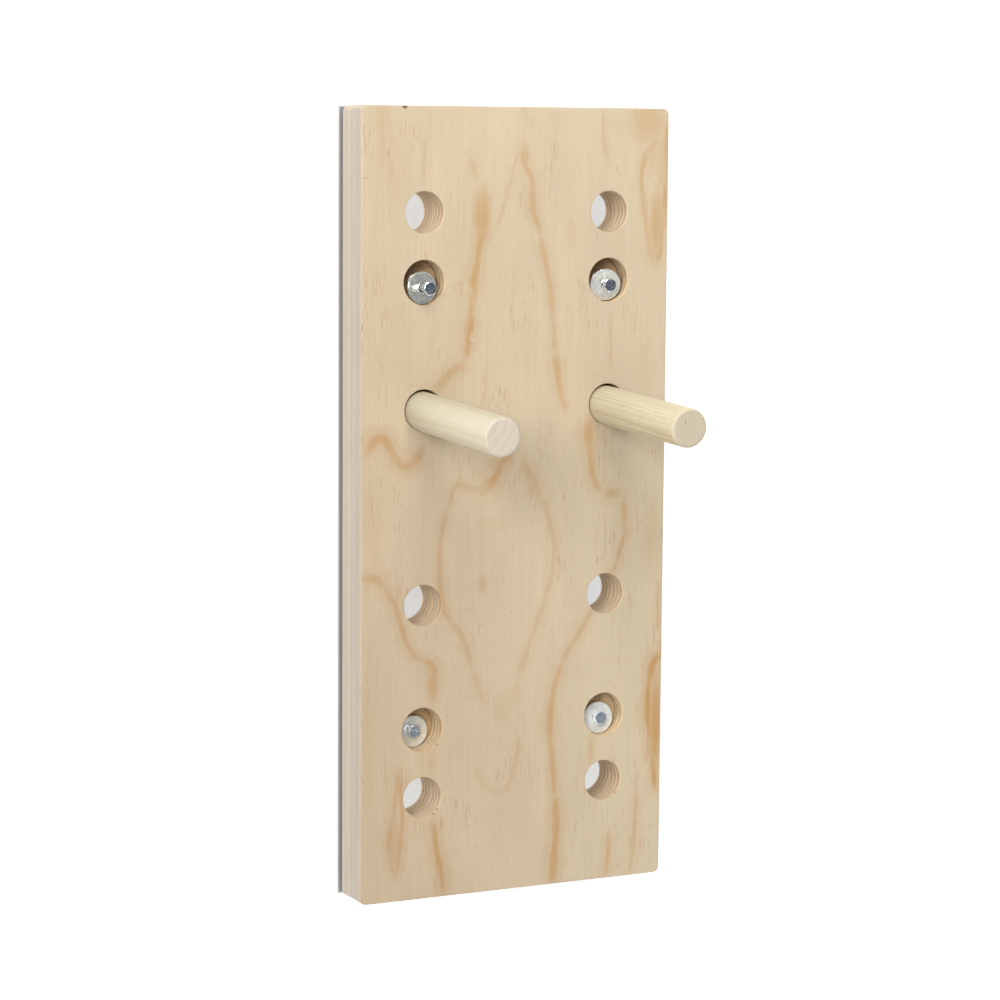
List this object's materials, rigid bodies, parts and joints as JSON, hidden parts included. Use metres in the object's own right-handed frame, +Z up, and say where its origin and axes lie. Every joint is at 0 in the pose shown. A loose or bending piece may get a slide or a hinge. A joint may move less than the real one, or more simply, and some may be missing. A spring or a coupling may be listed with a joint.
{
  "type": "peg board",
  "caption": "Tall plywood wall board with rows of round peg holes, removable wooden pegs, and counterbored wall screws with wide washers, for climbing and grip training.",
  "frame": {"origin": "centre of the board's back face, on the wall", "axes": "+Z up, +Y into the wall, +X to the right for a person facing the board"},
  "size_m": [0.262, 0.2253, 0.61],
  "materials": {
    "pine_long_grain": "raw sanded pine veneer, grain up the board",
    "pine_cross_grain": "raw pine veneer, grain across the board",
    "dowel": "raw sanded softwood dowel",
    "zinc_plate": "bright zinc plate",
    "zinc_washer": "bright zinc plate, pressed washer"
  },
  "bodies": {
    "board": {"front_sheet_face_veneer": "pine_long_grain", "front_sheet_crossband_1": "pine_cross_grain", "front_sheet_long_ply_1": "pine_long_grain", "front_sheet_centre_ply": "pine_cross_grain", "front_sheet_long_ply_2": "pine_long_grain", "front_sheet_crossband_2": "pine_cross_grain", "front_sheet_back_veneer": "pine_long_grain", "rear_sheet_face_veneer": "pine_long_grain", "rear_sheet_crossband_1": "pine_cross_grain", "rear_sheet_long_ply_1": "pine_long_grain", "rear_sheet_centre_ply": "pine_cross_grain", "rear_sheet_long_ply_2": "pine_long_grain", "rear_sheet_crossband_2": "pine_cross_grain", "rear_sheet_back_veneer": "pine_long_grain"},
    "left_peg": {"left_peg": "dowel"},
    "right_peg": {"right_peg": "dowel"},
    "upper_left_screw": {"upper_left_coach_screw": "zinc_plate"},
    "upper_left_washer": {"upper_left_penny_washer": "zinc_washer"},
    "upper_right_screw": {"upper_right_coach_screw": "zinc_plate"},
    "upper_right_washer": {"upper_right_penny_washer": "zinc_washer"},
    "lower_left_screw": {"lower_left_coach_screw": "zinc_plate"},
    "lower_left_washer": {"lower_left_penny_washer": "zinc_washer"},
    "lower_right_screw": {"lower_right_coach_screw": "zinc_plate"},
    "lower_right_washer": {"lower_right_penny_washer": "zinc_washer"}
  },
  "joints": [
    {"name": "left_peg_slide", "type": "slide", "parent": "board", "child": "left_peg", "axis": [0, -0.9987, -0.0516], "range_m": [0, 0.06]},
    {"name": "right_peg_slide", "type": "slide", "parent": "board", "child": "right_peg", "axis": [0, -0.9987, -0.0516], "range_m": [0, 0.06]},
    {"name": "upper_left_screw_slide", "type": "slide", "parent": "board", "child": "upper_left_screw", "axis": [0, -1, 0], "range_m": [-0.0185, 0.07]},
    {"name": "upper_left_washer_slide", "type": "slide", "parent": "board", "child": "upper_left_washer", "axis": [0, -1, 0], "range_m": [-0.00796, 0.0301]},
    {"name": "upper_right_screw_slide", "type": "slide", "parent": "board", "child": "upper_right_screw", "axis": [0, -1, 0], "range_m": [-0.0087, 0.08]},
    {"name": "upper_right_washer_slide", "type": "slide", "parent": "board", "child": "upper_right_washer", "axis": [0, -1, 0], "range_m": [-0.00561, 0.05156]},
    {"name": "lower_left_screw_slide", "type": "slide", "parent": "board", "child": "lower_left_screw", "axis": [0, -1, 0], "range_m": [0, 0.095]},
    {"name": "lower_left_washer_slide", "type": "slide", "parent": "board", "child": "lower_left_washer", "axis": [0, -1, 0], "range_m": [0, 0.0475]},
    {"name": "lower_right_screw_slide", "type": "slide", "parent": "board", "child": "lower_right_screw", "axis": [0, -1, 0], "range_m": [0, 0.085]},
    {"name": "lower_right_washer_slide", "type": "slide", "parent": "board", "child": "lower_right_washer", "axis": [0, -1, 0], "range_m": [0, 0.0425]}
  ],
  "couplings": [
    {"joint": "upper_left_washer_slide", "follows": "upper_left_screw_slide", "ratio": 0.43},
    {"joint": "upper_right_washer_slide", "follows": "upper_right_screw_slide", "ratio": 0.6445},
    {"joint": "lower_left_washer_slide", "follows": "lower_left_screw_slide", "ratio": 0.5},
    {"joint": "lower_right_washer_slide", "follows": "lower_right_screw_slide", "ratio": 0.5}
  ]
}
